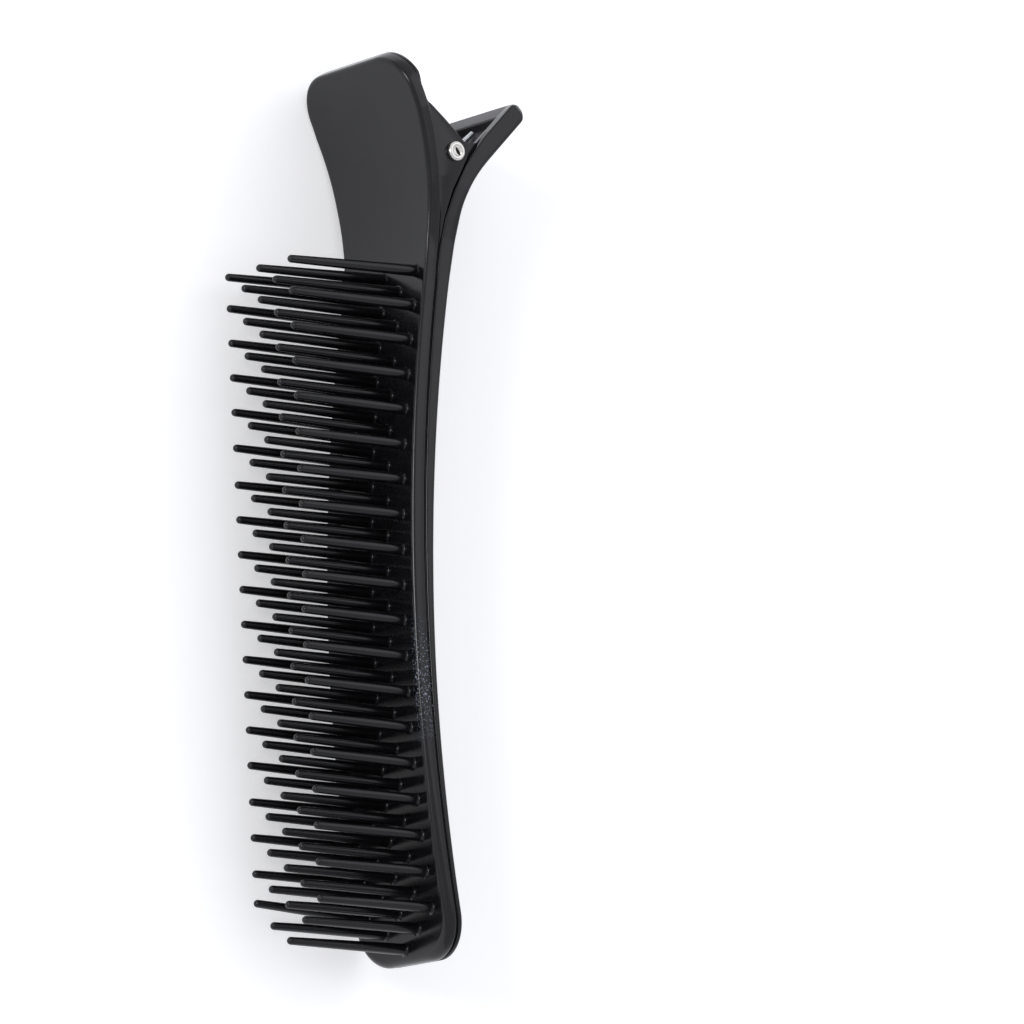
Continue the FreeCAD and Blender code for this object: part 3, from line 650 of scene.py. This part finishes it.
# Nickel plate over drawn brass: a bright, slightly warm metal with fine turning marks.
nickel, tree = new_material("nickel_plated_brass")
place = node(tree, "ShaderNodeTexCoord").outputs["Object"]
marks = node(tree, "ShaderNodeTexNoise", Vector=place, Scale=1800.0, Detail=3.0)
rough = node(tree, "ShaderNodeValToRGB", stops=[(0.3, 0.16), (0.7, 0.30)],
             Fac=marks.outputs["Fac"]).outputs["Color"]
tone = node(tree, "ShaderNodeValToRGB", stops=[(0.3, "#D8D6D0"), (0.7, "#F0EEE8")],
            Fac=marks.outputs["Fac"]).outputs["Color"]
bump = node(tree, "ShaderNodeBump", Height=marks.outputs["Fac"], Strength=0.15, Distance=0.00005)
shader = node(tree, "ShaderNodeBsdfPrincipled", Base_Color=tone, Metallic=1.0, Roughness=rough,
              Normal=bump.outputs["Normal"])
node(tree, "ShaderNodeOutputMaterial", Surface=shader.outputs["BSDF"])
rivet.data.materials.append(nickel)
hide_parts("hinge_rivet")
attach(rivet, "front_jaw_body")


# ---------------------------------------------------------------- torsion spring
# Music wire wound in an open coil on the rivet. One leg presses the back of the paddle and
# the other the floor of the lever, so the coil winds up as the jaws open.
WIRE, COIL, PITCH, TURNS = 0.45, 1.95, 1.15, 7
COIL_POINTS, LEG_POINTS, WIRE_AROUND = 300, 16, 14
paddle_leg_end = np.array([-9.8, -7.5])
lever_leg_end = np.array([-5.2, 8.95])


def leaving_angle(end, hand):
    """Direction of the point where a straight leg to `end` leaves the coil along its tangent."""
    return math.atan2(end[1], end[0]) + hand * math.acos(COIL / math.hypot(*end))


first_angle = leaving_angle(paddle_leg_end, 1)
last_angle = leaving_angle(lever_leg_end, -1)
wound = TURNS * 2 * math.pi + (last_angle - first_angle) % (2 * math.pi)
half_coil = PITCH * wound / (4 * math.pi)
wind = np.linspace(0, 1, COIL_POINTS)
coil_path = np.stack([
    COIL * np.cos(first_angle + wound * wind), COIL * np.sin(first_angle + wound * wind),
    half_coil * (2 * wind - 1)], 1)
first_leg = np.linspace([*paddle_leg_end, -half_coil], coil_path[0], LEG_POINTS)[:-1]
last_leg = np.linspace(coil_path[-1], [*lever_leg_end, half_coil], LEG_POINTS)[1:]
wire_path = np.concatenate([first_leg, coil_path, last_leg])
way = np.gradient(wire_path, axis=0)
way /= np.linalg.norm(way, axis=1)[:, None]
across = np.cross(way, [0, 0, 1.0])
across /= np.linalg.norm(across, axis=1)[:, None]
upward = np.cross(across, way)
turn = np.linspace(0, 2 * np.pi, WIRE_AROUND, endpoint=False)
tube = (wire_path[:, None] + WIRE * (
    np.cos(turn)[None, :, None] * across[:, None]
    + np.sin(turn)[None, :, None] * upward[:, None]))
cap_first = wire_path[0] - 0.05 * way[0] + 0 * tube[0]
cap_last = wire_path[-1] + 0.05 * way[-1] + 0 * tube[0]
near_first = wire_path[0] - 0.04 * way[0] + 0.8 * (tube[0] - wire_path[0])
near_last = wire_path[-1] + 0.04 * way[-1] + 0.8 * (tube[-1] - wire_path[-1])
tube = np.concatenate([cap_first[None], near_first[None], tube, near_last[None], cap_last[None]])
spring = add_mesh("torsion_spring_wire", tube.reshape(-1, 3),
                  ring_faces(len(tube), WIRE_AROUND), 50.0)

# Bright drawn music wire: hard steel with a mirror-like skin and faint lines along it.
wire_steel, tree = new_material("bright_music_wire")
place = node(tree, "ShaderNodeTexCoord").outputs["Object"]
lines = node(tree, "ShaderNodeTexNoise", Vector=place, Scale=1500.0, Detail=2.0)
rough = node(tree, "ShaderNodeValToRGB", stops=[(0.3, 0.18), (0.7, 0.30)],
             Fac=lines.outputs["Fac"]).outputs["Color"]
tone = node(tree, "ShaderNodeValToRGB", stops=[(0.3, "#B9BBBE"), (0.7, "#D2D4D6")],
            Fac=lines.outputs["Fac"]).outputs["Color"]
bump = node(tree, "ShaderNodeBump", Height=lines.outputs["Fac"], Strength=0.1, Distance=0.00004)
shader = node(tree, "ShaderNodeBsdfPrincipled", Base_Color=tone, Metallic=1.0, Roughness=rough,
              Normal=bump.outputs["Normal"])
node(tree, "ShaderNodeOutputMaterial", Surface=shader.outputs["BSDF"])
spring.data.materials.append(wire_steel)
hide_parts("torsion_spring")
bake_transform(spring)


# ---------------------------------------------------------------- floor and light
# A matt white board, a bright even room and two soft boxes, one along each side of the clip.
bpy.ops.mesh.primitive_plane_add(size=6.0, location=(0, 0, -0.0001))
floor = bpy.context.object
floor.name = "floor"
board, tree = new_material("matt_white_board")
shader = node(tree, "ShaderNodeBsdfPrincipled", Base_Color=linear("#F4F4F4"), Roughness=0.9,
              Emission_Color=linear("#FFFFFF"), Emission_Strength=0.32)
node(tree, "ShaderNodeOutputMaterial", Surface=shader.outputs["BSDF"])
floor.data.materials.append(board)

bpy.context.scene.view_settings.view_transform = "Standard"
world = bpy.data.worlds.new("room")
bpy.context.scene.world = world
world.use_nodes = True
world.node_tree.nodes["Background"].inputs["Color"].default_value = linear("#F3F4FB")
world.node_tree.nodes["Background"].inputs["Strength"].default_value = 0.80


def soft_box(name, place, target, width, height, power):
    """A rectangular area light aimed at a point: metres and watts."""
    light = bpy.data.lights.new(name, "AREA")
    light.shape = "RECTANGLE"
    light.size = width
    light.size_y = height
    light.energy = power
    lamp = bpy.data.objects.new(name, light)
    bpy.context.collection.objects.link(lamp)
    lamp.location = place
    lamp.rotation_mode = "QUATERNION"
    lamp.rotation_quaternion = (Vector(target) - Vector(place)).to_track_quat("-Z", "Y")


soft_box("key_box", (-0.46, 0.56, 0.86), (0, 0, 0), 0.7, 0.7, 1.0)
soft_box("front_box", (-0.2, -0.95, 0.67), (0, 0, 0), 0.32, 0.32, 3.8)
